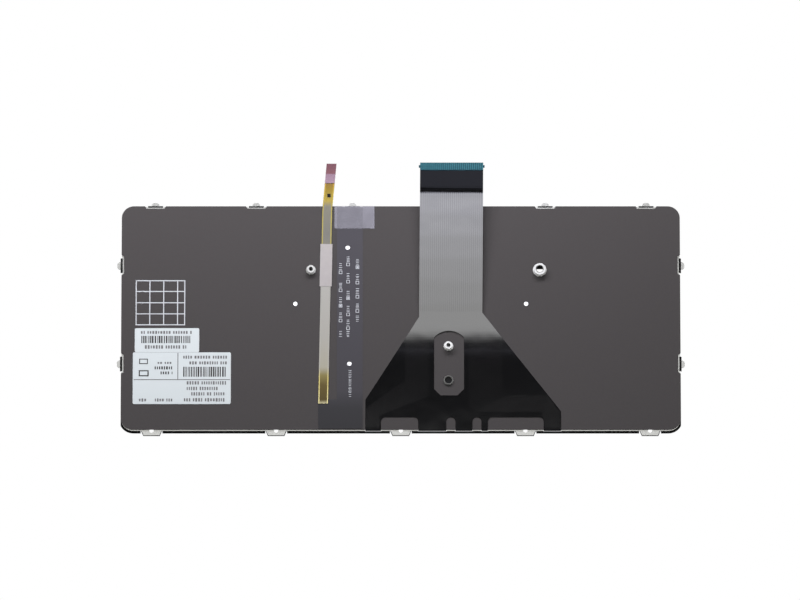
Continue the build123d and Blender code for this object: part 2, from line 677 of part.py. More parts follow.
# Threaded bosses riveted to the plate
BOSS_KINDS = (
    (SMALL_BOSSES, BOSS_RADIUS, BOSS_BORE),
    ((LARGE_BOSS,), LARGE_BOSS_RADIUS, LARGE_BOSS_BORE),
)
with BuildPart() as threaded_bosses:
    for places, radius, bore in BOSS_KINDS:
        for boss_radius, boss_top in ((radius + COLLAR_EXTRA, COLLAR_HEIGHT), (radius, BOSS_HEIGHT)):
            with BuildSketch(level(GUIDE_Z)):
                with Locations(*places):
                    RegularPolygon(boss_radius, BOSS_SIDES)
                    Circle(bore, mode=Mode.SUBTRACT)
            extrude(amount=BACK_Z + boss_top - GUIDE_Z)
    mouths = threaded_bosses.edges().filter_by(GeomType.CIRCLE).group_by(Axis.Z)[-1]
    chamfer(mouths.filter_by(lambda edge: edge.radius > BOSS_BORE), LARGE_BOSS_COUNTERSINK)
write(threaded_bosses, "threaded_bosses")

# Backlight flex: a long strip with a wide foot, its diodes reaching down into the light guide
with BuildPart() as backlight_flex:
    with BuildSketch(level(BACK_Z)):
        flex_bottom = BOTTOM_EDGE + FLEX_MARGIN
        Polygon(
            (FLEX_X[0], TOP_EDGE - FLEX_MARGIN),
            (FLEX_X[0], FLEX_FOOT_TOP),
            (FLEX_FOOT_X, FLEX_FOOT_TOP),
            (FLEX_FOOT_X, flex_bottom),
            (FLEX_X[1], flex_bottom),
            (FLEX_X[1], TOP_EDGE - FLEX_MARGIN),
            align=None,
        )
        with Locations(*FLEX_HOLES):
            cut_hole(FLEX_HOLE_RADIUS, HOLE_SIDES)
    extrude(amount=FLEX_THICKNESS)
write(backlight_flex, "backlight_flex")

with BuildPart() as light_diodes:
    with BuildSketch(level(BACK_Z)):
        with Locations(*LED_PLACES):
            Rectangle(LED_LENGTH, LED_WIDTH)
    extrude(amount=GUIDE_Z - BACK_Z)
write(light_diodes, "light_diodes")

with BuildPart() as holding_tape:
    with BuildSketch(level(FLEX_TOP)):
        with Locations((TAPE_X[0], TOP_EDGE)):
            Rectangle(TAPE_X[1] - TAPE_X[0], TAPE_LENGTH, align=(Align.MIN, Align.MAX))
    extrude(amount=TAPE_THICKNESS)
write(holding_tape, "holding_tape")

# Backlight ribbon: a flat cable from the flex's foot past the top edge, with a wrap and a stiff end
RIBBON_Z = FLEX_TOP + RIBBON_THICKNESS / 2
RIBBON_TIP_Y = RIBBON_ROUTE[-1][1]


def ribbon_profile(start, end, lift, thickness):
    """Side view of a strip that lies along the ribbon from one Y to another, this far above its middle."""
    points = [(RIBBON_ROUTE[0][1], RIBBON_Z), (RIBBON_LIFT_START, RIBBON_Z)]
    points += bend(points[-1], 0, RIBBON_LIFT, RIBBON_BEND_RADIUS)
    y, z = points[-1]
    points.append((RIBBON_TIP_Y, z + (RIBBON_TIP_Y - y) * tan(radians(RIBBON_LIFT))))
    inside = [point for point in points if start < point[0] < end]
    ends = [(y, height_along(points, y)) for y in (start, end)]
    return band([(y, z + lift) for y, z in (ends[0], *inside, ends[1])], thickness)


def height_along(points, y):
    """Height of a line of points at one Y."""
    for (y0, z0), (y1, z1) in zip(points, points[1:]):
        if y0 <= y <= y1:
            return z0 + (z1 - z0) * (y - y0) / (y1 - y0)


def ribbon_piece(start, end, lift, thickness, width):
    """A strip along the ribbon's route, cut from its side view."""
    left = [(x - width / 2, y) for x, y in RIBBON_ROUTE]
    right = [(x + width / 2, y) for x, y in RIBBON_ROUTE]
    with BuildPart() as strip:
        with BuildSketch(Plane((0, PLATE_Y, 0), x_dir=(0, 1, 0), z_dir=(1, 0, 0))):
            Polygon(*ribbon_profile(start, end, lift, thickness), align=None)
        extrude(amount=SIDE_EDGE, both=True)
        with BuildSketch(level(0)):
            Polygon(*left, *right[::-1], align=None)
        extrude(amount=FILM_WIDTH, mode=Mode.INTERSECT)
    return strip


over_ribbon = RIBBON_THICKNESS / 2
write(ribbon_piece(RIBBON_ROUTE[0][1], RIBBON_TIP_Y, 0, RIBBON_THICKNESS, RIBBON_WIDTH), "backlight_ribbon")
write(ribbon_piece(*WRAP_Y, over_ribbon + WRAP_THICKNESS / 2, WRAP_THICKNESS, WRAP_WIDTH), "ribbon_wrap")
stiff_span = (RIBBON_TIP_Y - RIBBON_END_LENGTH, RIBBON_TIP_Y)
stiff_lift = (over_ribbon + RIBBON_END_THICKNESS / 2) / cos(radians(RIBBON_LIFT))
write(ribbon_piece(*stiff_span, stiff_lift, RIBBON_END_THICKNESS, RIBBON_WIDTH), "ribbon_stiffener")

# Paper labels
for label_name, (inset, rise, width, height) in (("upper_label", UPPER_LABEL), ("lower_label", LOWER_LABEL)):
    with BuildPart() as paper_label:
        with BuildSketch(level(BACK_Z)) as paper:
            with Locations((inset - SIDE_EDGE, rise + BOTTOM_EDGE)):
                Rectangle(width, height, align=Align.MIN)
            chamfer(paper.vertices(), LABEL_CORNER)
        extrude(amount=LABEL_THICKNESS)
    write(paper_label, label_name)
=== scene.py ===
import math

import bmesh
import bpy
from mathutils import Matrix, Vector
from mathutils.bvhtree import BVHTree


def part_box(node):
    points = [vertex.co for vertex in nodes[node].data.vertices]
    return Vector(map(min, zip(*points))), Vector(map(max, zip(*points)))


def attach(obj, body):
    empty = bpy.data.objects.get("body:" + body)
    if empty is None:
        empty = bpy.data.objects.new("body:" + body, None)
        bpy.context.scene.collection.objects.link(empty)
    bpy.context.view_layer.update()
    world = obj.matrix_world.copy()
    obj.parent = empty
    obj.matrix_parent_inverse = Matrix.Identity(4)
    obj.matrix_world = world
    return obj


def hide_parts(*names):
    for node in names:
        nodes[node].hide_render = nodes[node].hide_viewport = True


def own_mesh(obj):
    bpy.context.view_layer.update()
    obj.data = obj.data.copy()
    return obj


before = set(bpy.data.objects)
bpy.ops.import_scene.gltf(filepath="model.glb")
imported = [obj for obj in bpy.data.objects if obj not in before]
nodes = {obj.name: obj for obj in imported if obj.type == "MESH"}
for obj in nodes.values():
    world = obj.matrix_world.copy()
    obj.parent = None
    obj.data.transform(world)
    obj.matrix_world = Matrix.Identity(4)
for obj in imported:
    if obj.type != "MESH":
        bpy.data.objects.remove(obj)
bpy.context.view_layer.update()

MM = 0.001
film_low, film_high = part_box("back_film")
MIDDLE_X = (film_low[0] + film_high[0]) / 2
MIDDLE_Y = (film_low[1] + film_high[1]) / 2
LIFT = 0.015 * MM  # print stands this far off what it is printed on


def place(x, y):
    """A place on the back, in mm from the middle of the film, in the scene's metres."""
    return MIDDLE_X + x * MM, MIDDLE_Y + y * MM


def colour(code):
    """An sRGB hex colour as a linear one."""
    channels = [int(code[n : n + 2], 16) / 255 for n in (0, 2, 4)]
    linear = [c / 12.92 if c <= 0.04045 else ((c + 0.055) / 1.055) ** 2.4 for c in channels]
    return (*linear, 1.0)


# Materials
def add(tree, kind, inputs=None, **settings):
    """Adds a shader node, sets its settings, and fills or links its inputs."""
    made = tree.nodes.new(kind)
    for name, value in settings.items():
        setattr(made, name, value)
    for name, value in (inputs or {}).items():
        if isinstance(value, bpy.types.NodeSocket):
            tree.links.new(value, made.inputs[name])
        else:
            made.inputs[name].default_value = value
    return made


def material(name):
    made = bpy.data.materials.new(name)
    made.use_nodes = True
    made.node_tree.nodes.clear()
    return made, made.node_tree


def finish_material(tree, shader):
    add(tree, "ShaderNodeOutputMaterial", {"Surface": shader.outputs[0]})


def grain(tree, size_mm):
    """Fine noise of a real grain size, as a factor."""
    where = add(tree, "ShaderNodeTexCoord").outputs["Object"]
    noise = add(tree, "ShaderNodeTexNoise", {"Vector": where, "Scale": 1 / (size_mm * MM), "Detail": 2.0})
    return noise.outputs["Fac"]


def plain(name, code, roughness, metallic=0.0, ior=1.5, grain_mm=0.0, bump=0.0, spread=0.0, alpha=1.0):
    """One-colour surface, with an optional grain that changes its tone and its relief."""
    made, tree = material(name)
    base = colour(code)
    inputs = {"Base Color": base, "Roughness": roughness, "Metallic": metallic, "IOR": ior, "Alpha": alpha}
    if grain_mm:
        factor = grain(tree, grain_mm)
        dark = tuple(c * (1 - spread) for c in base[:3]) + (1.0,)
        light = tuple(min(1.0, c * (1 + spread)) for c in base[:3]) + (1.0,)
        tone = add(tree, "ShaderNodeMix", {0: factor, 6: dark, 7: light}, data_type="RGBA")
        inputs["Base Color"] = tone.outputs[2]
        if bump:
            relief = add(tree, "ShaderNodeBump", {"Height": factor, "Strength": 1.0, "Distance": bump * MM})
            inputs["Normal"] = relief.outputs[0]
    shader = add(tree, "ShaderNodeBsdfPrincipled", inputs)
    finish_material(tree, shader)
    return made


FILM = plain("film", "393635", 0.55, ior=1.42, grain_mm=0.6, bump=0.004, spread=0.1)
TAIL = plain("tail", "050506", 0.07, ior=2.0, grain_mm=22.0, bump=0.1, spread=0.2)
TRACE = plain("trace", "0b0b0c", 0.08, ior=1.9)
GLINT = plain("glint", "080708", 0.11, ior=1.88)
METAL = plain("metal", "d8d8d3", 0.36, metallic=1.0, grain_mm=0.5, bump=0.002, spread=0.06)
BRIGHT = plain("turned metal", "f0f0ed", 0.34, metallic=1.0)
TEAL = plain("teal", "163037", 0.6, ior=1.25, grain_mm=1.5, spread=0.06)
CONTACT = plain("contact", "2c565c", 0.6, ior=1.25)
KEYCAP = plain("keycap", "1a1a1c", 0.5, grain_mm=0.25, bump=0.004, spread=0.08)
DOME = plain("dome", "c9c9c4", 0.45)
LINK = plain("link", "8f8f90", 0.45)
WIRE = plain("wire", "b8b8bc", 0.25, metallic=1.0)
GUIDE = plain("guide", "dfe6e8", 0.15, alpha=0.5)
WHITE_SHEET = plain("white sheet", "f4f4f2", 0.5)
DIODE = plain("diode", "efe6b0", 0.4)
TAPE = plain("tape", "807e84", 0.3, alpha=0.55, grain_mm=5.0, spread=0.22)
WRAP = plain("wrap", "8e8986", 0.5, grain_mm=2.5, spread=0.07)
PAPER = plain("paper", "b1b6b4", 0.6, grain_mm=0.3, spread=0.02)
DARK = plain("dark", "101012", 0.6)
BORE = plain("bore", "6a6a6c", 0.5)
INK = plain("ink", "33312f", 0.6)
GREY_INK = plain("grey ink", "5f5d5c", 0.6)
WHITE_INK = plain("white ink", "a6a8a9", 0.5)


def banded(name, stops, low, high, roughness):
    """Colour bands along the keyboard, each stop given in mm from the middle of the film."""
    made, tree = material(name)
    where = add(tree, "ShaderNodeTexCoord").outputs["Object"]
    along = add(tree, "ShaderNodeSeparateXYZ", {0: where}).outputs["Y"]
    start, end = MIDDLE_Y + low * MM, MIDDLE_Y + high * MM
    share = add(tree, "ShaderNodeMapRange", {"Value": along, "From Min": start, "From Max": end})
    ramp = add(tree, "ShaderNodeValToRGB", {"Fac": share.outputs[0]})
    elements = ramp.color_ramp.elements
    while len(elements) < len(stops):
        elements.new(0.5)
    for element, (y, code) in zip(elements, stops):
        element.position = (y - low) / (high - low)
        element.color = colour(code)
    shader = add(tree, "ShaderNodeBsdfPrincipled", {"Base Color": ramp.outputs[0], "Roughness": roughness})
    finish_material(tree, shader)
    return made


FLEX_STOPS = ((-58.3, "1d1c1f"), (-47.0, "212023"), (-38.0, "302e32"), (58.0, "38363a"))
FLEX = banded("flex", FLEX_STOPS, -58.5, 58.5, 0.38)
RIBBON_STOPS = (
    (-44.6, "99916f"),
    (-43.0, "42360e"),
    (-35.0, "4d4017"),
    (-30.0, "6e6337"),
    (-26.0, "898575"),
    (-10.0, "89867e"),
    (16.0, "8a8881"),
    (38.0, "646158"),
    (44.0, "5f5d56"),
    (58.0, "666356"),
    (61.0, "8a782c"),
    (66.0, "786318"),
    (69.8, "6d5318"),
)
RIBBON = banded("ribbon", RIBBON_STOPS, -45.0, 81.0, 0.35)
# The edges are lighter than the middle along most of the ribbon, in their own colours; from -26 to 16 mm
# they are held down to the middle's tone, as painted shade at the sides
EDGE_STOPS = (
    (-44.6, "bdb27c"),
    (-32.0, "aea05c"),
    (-26.0, "918e84"),
    (16.0, "85837c"),
    (38.0, "857c45"),
    (57.0, "8b7e37"),
    (66.0, "9a8328"),
    (69.8, "916f20"),
)
RIBBON_EDGE = banded("ribbon edge", EDGE_STOPS, -45.0, 81.0, 0.35)
RIBBON_END_STOPS = ((69.0, "816a76"), (74.4, "745c69"), (75.0, "60393f"), (80.0, "56333b"))
RIBBON_END = banded("ribbon end", RIBBON_END_STOPS, 69.0, 81.0, 0.3)

node_materials = {
    "back_film": FILM,
    "membrane": TAIL,
    "base_plate": METAL,
    "threaded_bosses": BRIGHT,
    "tail_stiffener": TEAL,
    "light_guide": GUIDE,
    "reflector_sheet": WHITE_SHEET,
    "backlight_flex": FLEX,
    "light_diodes": DIODE,
    "holding_tape": TAPE,
    "backlight_ribbon": RIBBON,
    "ribbon_wrap": WRAP,
    "ribbon_stiffener": RIBBON_END,
    "upper_label": PAPER,
    "lower_label": PAPER,
    "stabiliser_wire": WIRE,
    "rubber_domes": DOME,
    "scissor_outer_links": LINK,
    "scissor_inner_links": LINK,
}
for name, shown in nodes.items():
    shown.data.materials.clear()
    shown.data.materials.append(node_materials.get(name, KEYCAP))


# Painted shade on the metal around the eyelet, down in the tail's window
def paint_shade_around(made, x, y, radius_mm, share):
    """Paints shade into a surface around a place in mm from the middle of the film."""
    tree = made.node_tree
    shader = next(node for node in tree.nodes if node.type == "BSDF_PRINCIPLED")
    where = add(tree, "ShaderNodeTexCoord").outputs["Object"]
    parts = add(tree, "ShaderNodeSeparateXYZ", {0: where}).outputs
    flat = add(tree, "ShaderNodeCombineXYZ", {"X": parts["X"], "Y": parts["Y"]}).outputs[0]
    centre = (*place(x, y), 0.0)
    away = add(tree, "ShaderNodeVectorMath", {0: flat, 1: centre}, operation="DISTANCE").outputs["Value"]
    near = add(tree, "ShaderNodeMath", {0: away, 1: radius_mm * MM}, operation="LESS_THAN").outputs[0]
    factor = add(tree, "ShaderNodeMath", {0: near, 1: share}, operation="MULTIPLY").outputs[0]
    tone = shader.inputs["Base Color"].links[0].from_socket
    shade_painted = add(tree, "ShaderNodeMix", {0: factor, 6: tone, 7: (0.0, 0.0, 0.0, 1.0)}, data_type="RGBA")
    tree.links.new(shade_painted.outputs[2], shader.inputs["Base Color"])


# Painted shade: darker metal around the eyelet in the tail's window
paint_shade_around(METAL, 24.0, -32.6, 3.0, 0.72)


# Painted shade on bent and cut metal and on the sides of the bosses, where they lean away from level
def paint_slope_shade(made, share, level_above, upright_below):
    """Paints shade into a surface where it leans away from level."""
    tree = made.node_tree
    shader = next(node for node in tree.nodes if node.type == "BSDF_PRINCIPLED")
    facing = add(tree, "ShaderNodeTexCoord").outputs["Normal"]
    upright = add(tree, "ShaderNodeSeparateXYZ", {0: facing}).outputs["Z"]
    level = add(tree, "ShaderNodeMath", {0: upright}, operation="ABSOLUTE").outputs[0]
    limits = {"From Min": level_above, "From Max": upright_below, "To Max": share}
    lean = add(tree, "ShaderNodeMapRange", {"Value": level, **limits})
    socket = shader.inputs["Base Color"]
    tone = socket.links[0].from_socket if socket.links else socket.default_value
    black = (0.0, 0.0, 0.0, 1.0)
    slope_shade_painted = add(tree, "ShaderNodeMix", {0: lean.outputs[0], 6: tone, 7: black}, data_type="RGBA")
    tree.links.new(slope_shade_painted.outputs[2], socket)


# Painted shade on the slopes of the plate and of the bosses
paint_slope_shade(METAL, 0.82, 0.97, 0.75)
paint_slope_shade(BRIGHT, 0.85, 0.8, 0.5)


# Rounded edges on the moulded keycaps
def soften(shown, width_mm, segments=2):
    weld = shown.modifiers.new("weld", "WELD")
    weld.merge_threshold = 1e-6
    bevel = shown.modifiers.new("bevel", "BEVEL")
    bevel.width = width_mm * MM
    bevel.segments = segments
    bevel.limit_method = "ANGLE"
    bevel.angle_limit = math.radians(35)
    bevel.harden_normals = False


for name, shown in nodes.items():
    if name.startswith("key_") or name == "fixed_keycaps":
        soften(shown, 0.3, 3)


# Thin print, made of flat polygons just above a surface
def surface_of(mesh):
    """Height of a mesh at a place, from straight above."""
    tree = BVHTree.FromPolygons([v.co for v in mesh.vertices], [face.vertices for face in mesh.polygons])

    def height(x, y):
        hit = tree.ray_cast(Vector((x, y, 1.0)), Vector((0, 0, -1)))[0]
        return hit.z if hit else None

    return height


def piece(name, polygons, look, body="keyboard", flat=True):
    """One mesh from the corners of its polygons, in metres, that rides on a body. Flat print faces up."""
    mesh = bpy.data.meshes.new(name)
    shape = bmesh.new()
    for corners in polygons:
        shape.faces.new([shape.verts.new(corner) for corner in corners])
    if flat:
        bmesh.ops.recalc_face_normals(shape, faces=shape.faces)
        bmesh.ops.reverse_faces(shape, faces=[face for face in shape.faces if face.normal.z < 0])
    else:
        bmesh.ops.remove_doubles(shape, verts=shape.verts, dist=1e-7)
    shape.to_mesh(mesh)
    shape.free()
    made = bpy.data.objects.new(name, mesh)
    bpy.context.scene.collection.objects.link(made)
    mesh.materials.append(look)
    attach(made, body)
    return made


def block(left, bottom, right, top, z):
    """A flat rectangle on the back, in mm from the middle of the film."""
    low, high = place(left, bottom), place(right, top)
    return [(low[0], low[1], z), (high[0], low[1], z), (high[0], high[1], z), (low[0], high[1], z)]


def frame_lines(left, bottom, right, top, width, z):
    """An empty box drawn with four strokes."""
    return [
        block(left, bottom, right, bottom + width, z),
        block(left, top - width, right, top, z),
        block(left, bottom + width, left + width, top - width, z),
        block(right - width, bottom + width, right, top - width, z),
    ]


def pseudo(seed):
    """A repeatable number from 0 to 1."""
    return (math.sin(seed * 12.9898) * 43758.5453) % 1.0


def text_row(left, right, middle, height, z, seed=1.0):
    """A row of plain dashes that stands for a line of small print."""
    dashes = []
    x = left
    while x < right - 0.4:
        seed += 1.0
        width = min(0.55 + 0.45 * pseudo(seed), right - x)
        tall = height * (0.8 + 0.2 * pseudo(seed + 0.5))
        dashes.append(block(x, middle - tall / 2, x + width, middle + tall / 2, z))
        x += width + (1.3 if pseudo(seed + 0.25) > 0.86 else 0.5)
    return dashes


def stripes(left, right, bottom, top, z, seed):
    """Upright bars of uneven width that stand for a code."""
    bars = []
    x = left
    while x < right - 0.3:
        seed += 1.0
        width = 0.28 + 0.55 * pseudo(seed)
        bars.append(block(x, bottom, min(x + width, right), top, z))
        x += width + 0.26 + 0.4 * pseudo(seed + 0.5)
    return bars


# Round surfaces blended over their facets
def corners_of(name):
    """Corner points of each triangle of a node."""
    mesh = nodes[name].data
    return [[mesh.vertices[index].co.copy() for index in face.vertices] for face in mesh.polygons]


def blended(name, degrees, refine=None):
    """A copy of a node, shown in its place, whose edges flatter than an angle are shaded as one surface."""
    made = piece(name + "_blended", corners_of(name), node_materials[name], flat=False)
    shape = bmesh.new()
    shape.from_mesh(made.data)
    if refine:
        refine(shape)
    for face in shape.faces:
        face.smooth = True
    for edge in shape.edges:
        edge.smooth = edge.is_manifold and edge.calc_face_angle() < math.radians(degrees)
    shape.to_mesh(made.data)
    shape.free()
    weighted = made.modifiers.new("weighted normals", "WEIGHTED_NORMAL")
    weighted.keep_sharp = True
    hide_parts(name)
    return made


LIFT_SPAN = (-17.2, -3.2)  # along the tail, about the corner where it leaves the back
LIFT_SLOPE = math.tan(math.radians(3.6))
LIFT_STEPS = 14
TAIL_THICKNESS = 0.2 * MM


def ease_lift(shape):
    """Lets the tail leave the back in one long curve."""
    back_z = film_high[2]
    start, end = (place(0, y)[1] for y in LIFT_SPAN)
    for n in range(LIFT_STEPS + 1):
        y = start + (end - start) * n / LIFT_STEPS
        tail = [face for face in shape.faces if min(vertex.co.z for vertex in face.verts) > back_z - LIFT]
        edges = {edge for face in tail for edge in face.edges}
        corners = {vertex for face in tail for vertex in face.verts}
        bmesh.ops.bisect_plane(shape, geom=[*tail, *edges, *corners], plane_co=(0, y, 0), plane_no=(0, 1, 0))
    for vertex in shape.verts:
        along = vertex.co.y - start
        if vertex.co.z > back_z - LIFT and 0 <= along <= end - start:
            corner = LIFT_SLOPE * max(0.0, along - (end - start) / 2)
            upper = vertex.co.z - back_z - corner > TAIL_THICKNESS / 2
            vertex.co.z = back_z + upper * TAIL_THICKNESS + LIFT_SLOPE * along**2 / (2 * (end - start))


smooth = {name: blended(name, 25) for name in ("threaded_bosses", "base_plate", "backlight_ribbon")}
smooth["membrane"] = blended("membrane", 25, ease_lift)


# Domes and links split into one piece for each moving key
def islands(name):
    """The separate solids of a node, each as a list of triangles."""
    groups = []
    owner = {}
    for corners in corners_of(name):
        keys = [tuple(round(value, 7) for value in corner) for corner in corners]
        joined = {owner[key] for key in keys if key in owner}
        home = min(joined, default=len(groups))
        if home == len(groups):
            groups.append([])
        for other in joined - {home}:
            groups[home] += groups[other]
            groups[other] = []
            owner.update({key: home for key, group in owner.items() if group == other})
        groups[home].append(corners)
        owner.update(dict.fromkeys(keys, home))
    return [group for group in groups if group]


def key_over(triangles):
    """The moving key whose cap covers a solid, or nothing."""
    points = [corner for corners in triangles for corner in corners]
    middle = sum(points, Vector()) / len(points)
    for name in moving:
        low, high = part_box(name)
        if low.x < middle.x < high.x and low.y < middle.y < high.y:
            return name
    return None


moving = [name for name in nodes if name.startswith("key_")]
SPRINGY = {"domes": ("rubber_domes",), "links": ("scissor_outer_links", "scissor_inner_links")}
for kind, sources in SPRINGY.items():
    shares = {}
    for source in sources:
        for solid in islands(source):
            shares.setdefault(key_over(solid), []).extend(solid)
    for key, triangles in shares.items():
        soft = piece(f"{kind}_{key or 'fixed_keys'}", triangles, node_materials[sources[0]], flat=False)
        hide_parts(*sources)
        if key:
            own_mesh(soft)

# Dark ends of the bosses' bores, and of the eyelet
def disc(x, y, radius_mm, z, sides=24):
    """A flat round, at a place in mm from the middle of the film."""
    turns = [2 * math.pi * n / sides for n in range(sides)]
    points = [place(x + radius_mm * math.cos(turn), y + radius_mm * math.sin(turn)) for turn in turns]
    return [(*point, z) for point in points]


plate_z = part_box("light_guide")[0].z + LIFT
piece("bore_ends", [disc(-45.4, 25.0, 0.98, plate_z), disc(24.0, -32.6, 1.85, plate_z)], DARK)
piece("window_bore_end", [disc(24.0, -14.8, 0.98, plate_z)], BORE)

# Print on the labels
label_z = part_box("upper_label")[1][2] + LIFT
upper_bars = text_row(-131.0, -105.0, -7.7, 1.6, label_z, 5.0)
upper_bars += text_row(-129.0, -107.5, -15.3, 1.9, label_z, 9.0)
piece("upper_label_bars", upper_bars, GREY_INK)
piece("upper_label_code", stripes(-130.8, -105.5, -13.3, -9.5, label_z, 3.0), INK)

lower_bars = [
    block(-134.6, -32.5, -86.0, -32.1, label_z),
    block(-112.5, -32.3, -112.1, -18.4, label_z),
]
for row, (left, right, y) in enumerate(((-109.6, -87.0, -20.6), (-106.5, -87.0, -23.6))):
    lower_bars += text_row(left, right, y, 1.7, label_z, 31.0 + 7 * row)
for row, (left, y) in enumerate(((-107.8, -34.0), (-107.8, -36.9), (-105.5, -39.7), (-109.2, -42.8))):
    lower_bars += text_row(left, -88.0 - 4.0 * (row == 1), y, 1.9, label_z, 51.0 + 11 * row)
lower_bars += text_row(-131.8, -127.6, -42.9, 1.7, label_z, 91.0)
lower_bars += text_row(-123.8, -114.2, -42.9, 1.7, label_z, 97.0)
lower_bars += text_row(-122.5, -115.0, -23.6, 1.1, label_z, 103.0)
piece("lower_label_bars", lower_bars, GREY_INK)
lower_code = stripes(-109.6, -87.9, -30.8, -25.6, label_z, 21.0)
lower_code += text_row(-124.0, -113.6, -26.2, 1.7, label_z, 71.0)
lower_code += text_row(-121.0, -115.0, -28.8, 1.7, label_z, 83.0)
lower_code += frame_lines(-132.0, -30.6, -127.0, -27.4, 0.6, label_z)
lower_code += frame_lines(-131.8, -24.2, -127.4, -21.4, 0.45, label_z)
piece("lower_label_code", lower_code, INK)

# Plain empty grid printed on the film
film_z = film_high[2] + LIFT
GRID_X = (-133.5, -126.6, -119.6, -112.6, -109.0)
GRID_Y = (19.3, 13.7, 7.8, 2.0, -3.7)
grid_print = [block(x - 0.25, GRID_Y[-1] - 0.25, x + 0.25, GRID_Y[0] + 0.25, film_z) for x in GRID_X]
for y in GRID_Y:
    for start, end in zip(GRID_X[:-1], GRID_X[1:]):
        grid_print.append(block(start + 0.25, y - 0.25, end - 0.25, y + 0.25, film_z))
piece("film_grid", grid_print, WHITE_INK)

# Check boxes printed on the backlight flex
flex_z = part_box("backlight_flex")[1][2] + LIFT
BOX_COLUMNS = (
    (-30.4, (-1.5, 6.2, 14.3, 23.7), 6.2, -10.0),
    (-26.6, (-5.5, 1.7, 10.2, 18.8, 27.8), 10.2, -10.0),
    (-21.9, (3.5, 10.9, 18.3, 26.4), 26.4, -2.0),
)


def upright_row(x, start, end, tall, z, seed):
    """A row of plain dashes that runs up the flex."""
    dashes = []
    while start < end:
        seed += 1.0
        wide = tall * (0.7 + 0.3 * pseudo(seed))
        dashes.append(block(x - wide / 2, start, x + wide / 2, start + 0.26, z))
        start += 0.26 + (0.44 if pseudo(seed + 0.5) > 0.4 else 0.74)
    return dashes


flex_print = []
for column, (x, rows, filled, first_dash) in enumerate(BOX_COLUMNS):
    flex_print += upright_row(x, first_dash, first_dash + 3.0, 1.6, flex_z, 5.0 + column)
    for y in rows:
        flex_print += frame_lines(x - 0.85, y - 0.85, x + 0.85, y + 0.85, 0.26, flex_z)
        if y == filled:
            flex_print.append(block(x - 0.4, y - 0.4, x + 0.4, y + 0.4, flex_z))
        flex_print += upright_row(x, y + 1.4, y + 4.4, 1.7, flex_z, 11.0 + y)
flex_print += upright_row(-25.6, -41.2, -26.6, 1.7, flex_z, 71.0)
piece("flex_check_boxes", flex_print, WHITE_INK)


# Lines and edges laid along the flat cables
def strip(points, width, height):
    """A flat ribbon along a line in mm, laid on a surface."""
    sides = []
    for n, point in enumerate(points):
        before, after = points[max(n - 1, 0)], points[min(n + 1, len(points) - 1)]
        along = Vector((after[0] - before[0], after[1] - before[1])).normalized()
        across = Vector((-along.y, along.x)) * width / 2
        pair = []
        for sign in (1, -1):
            x, y = place(point[0] + sign * across.x, point[1] + sign * across.y)
            z = height(x, y)
            pair.append(None if z is None else (x, y, z + LIFT))
        sides.append(pair)
    quads = []
    for (a, b), (c, d) in zip(sides[:-1], sides[1:]):
        if a and b and c and d and abs(a[2] - d[2]) < 0.4 * MM and abs(b[2] - c[2]) < 0.4 * MM:
            quads.append([a, c, d, b])
    return quads


def stepped(start, end, step=2.0):
    """Points along a straight line, close enough to follow a bend."""
    count = max(1, math.ceil(math.dist(start, end) / step))
    run, rise = end[0] - start[0], end[1] - start[1]
    return [(start[0] + run * n / count, start[1] + rise * n / count) for n in range(count)]


RIBBON_ROUTE = ((-39.1, -44.8), (-37.2, 56.0), (-35.0, 80.0))
RIBBON_END_Y = 69.9
ribbon_height = surface_of(nodes["backlight_ribbon"].data)


def ribbon_middle(y):
    """The middle of the ribbon at a place along it."""
    for (x0, y0), (x1, y1) in zip(RIBBON_ROUTE[:-1], RIBBON_ROUTE[1:]):
        if y <= y1:
            return x0 + (x1 - x0) * (y - y0) / (y1 - y0)
    return RIBBON_ROUTE[-1][0]


edge_strips = []
for offset in (-2.15, 2.15):
    ys = [-44.7 + n * (RIBBON_END_Y + 44.7) / 80 for n in range(81)]
    edge_strips += strip([(ribbon_middle(y) + offset, y) for y in ys], 0.55, ribbon_height)
piece("ribbon_edges", edge_strips, RIBBON_EDGE)
pad_x, pad_y = ribbon_middle(63.6) + 0.2, 63.6
piece("ribbon_pad", strip([(pad_x, pad_y - 0.9), (pad_x, pad_y + 0.9)], 1.7, ribbon_height), DARK)

# Conductors down the straight run of the main tail
TAIL_EDGES = (9.2, 41.1)
TAIL_LEAN = 0.6
CONDUCTORS = 32
TAIL_PITCH = (TAIL_EDGES[1] - TAIL_EDGES[0] - 1.4) / (CONDUCTORS - 1)
tail_height = surface_of(smooth["membrane"].data)
traces = []
for n in range(CONDUCTORS):
    x = TAIL_EDGES[0] + 0.7 + n * TAIL_PITCH
    line = stepped((x + TAIL_LEAN * 0.95, 75.5), (x, 3.0))
    traces += strip(line + [(x, 3.0)], 0.34, tail_height)
piece("tail_conductors", traces, TRACE)


# Conductors in the dark foot: straight past the window, then out to the tongues at both ends
def shoulder(y, top, bottom):
    """Where a slanted side of the foot is, at a height in mm."""
    return top[0] + (bottom[0] - top[0]) * (y - top[1]) / (bottom[1] - top[1])


SHOULDER_TOP = (41.1, 2.4)
SHOULDER_BOTTOM = (80.6, -48.7)
FOOT_START = -13.0
FOOT_END = -57.0
FOOT_LINE = 0.24
foot_lines = []
for n in range(CONDUCTORS // 2):
    nested = CONDUCTORS // 2 - 1 - n
    x, turn = 34.8 + 1.05 * n, -37.5 - 0.55 * nested
    inset = 0.9 + 0.55 * nested
    level = turn - 3.0
    side = shoulder(level, SHOULDER_TOP, SHOULDER_BOTTOM) - inset
    tongue = SHOULDER_BOTTOM[0] - inset
    right_route = [(x, FOOT_START), (x, turn), (x + 3.0, level), (side, level)]
    right_route += [(tongue, -49.5), (tongue, FOOT_END)]
    x, turn = 13.8 - 0.75 * n, -33.0 - 0.5 * nested
    tongue = -10.9 - 0.42 * n
    left_route = [(x, FOOT_START), (x, turn), (tongue, -47.0 - 0.27 * nested), (tongue, FOOT_END)]
    for route in (right_route, left_route):
        line = [point for start, end in zip(route[:-1], route[1:]) for point in stepped(start, end)]
        foot_lines += strip([*line, route[-1]], FOOT_LINE, tail_height)
piece("foot_conductors", foot_lines, GLINT)

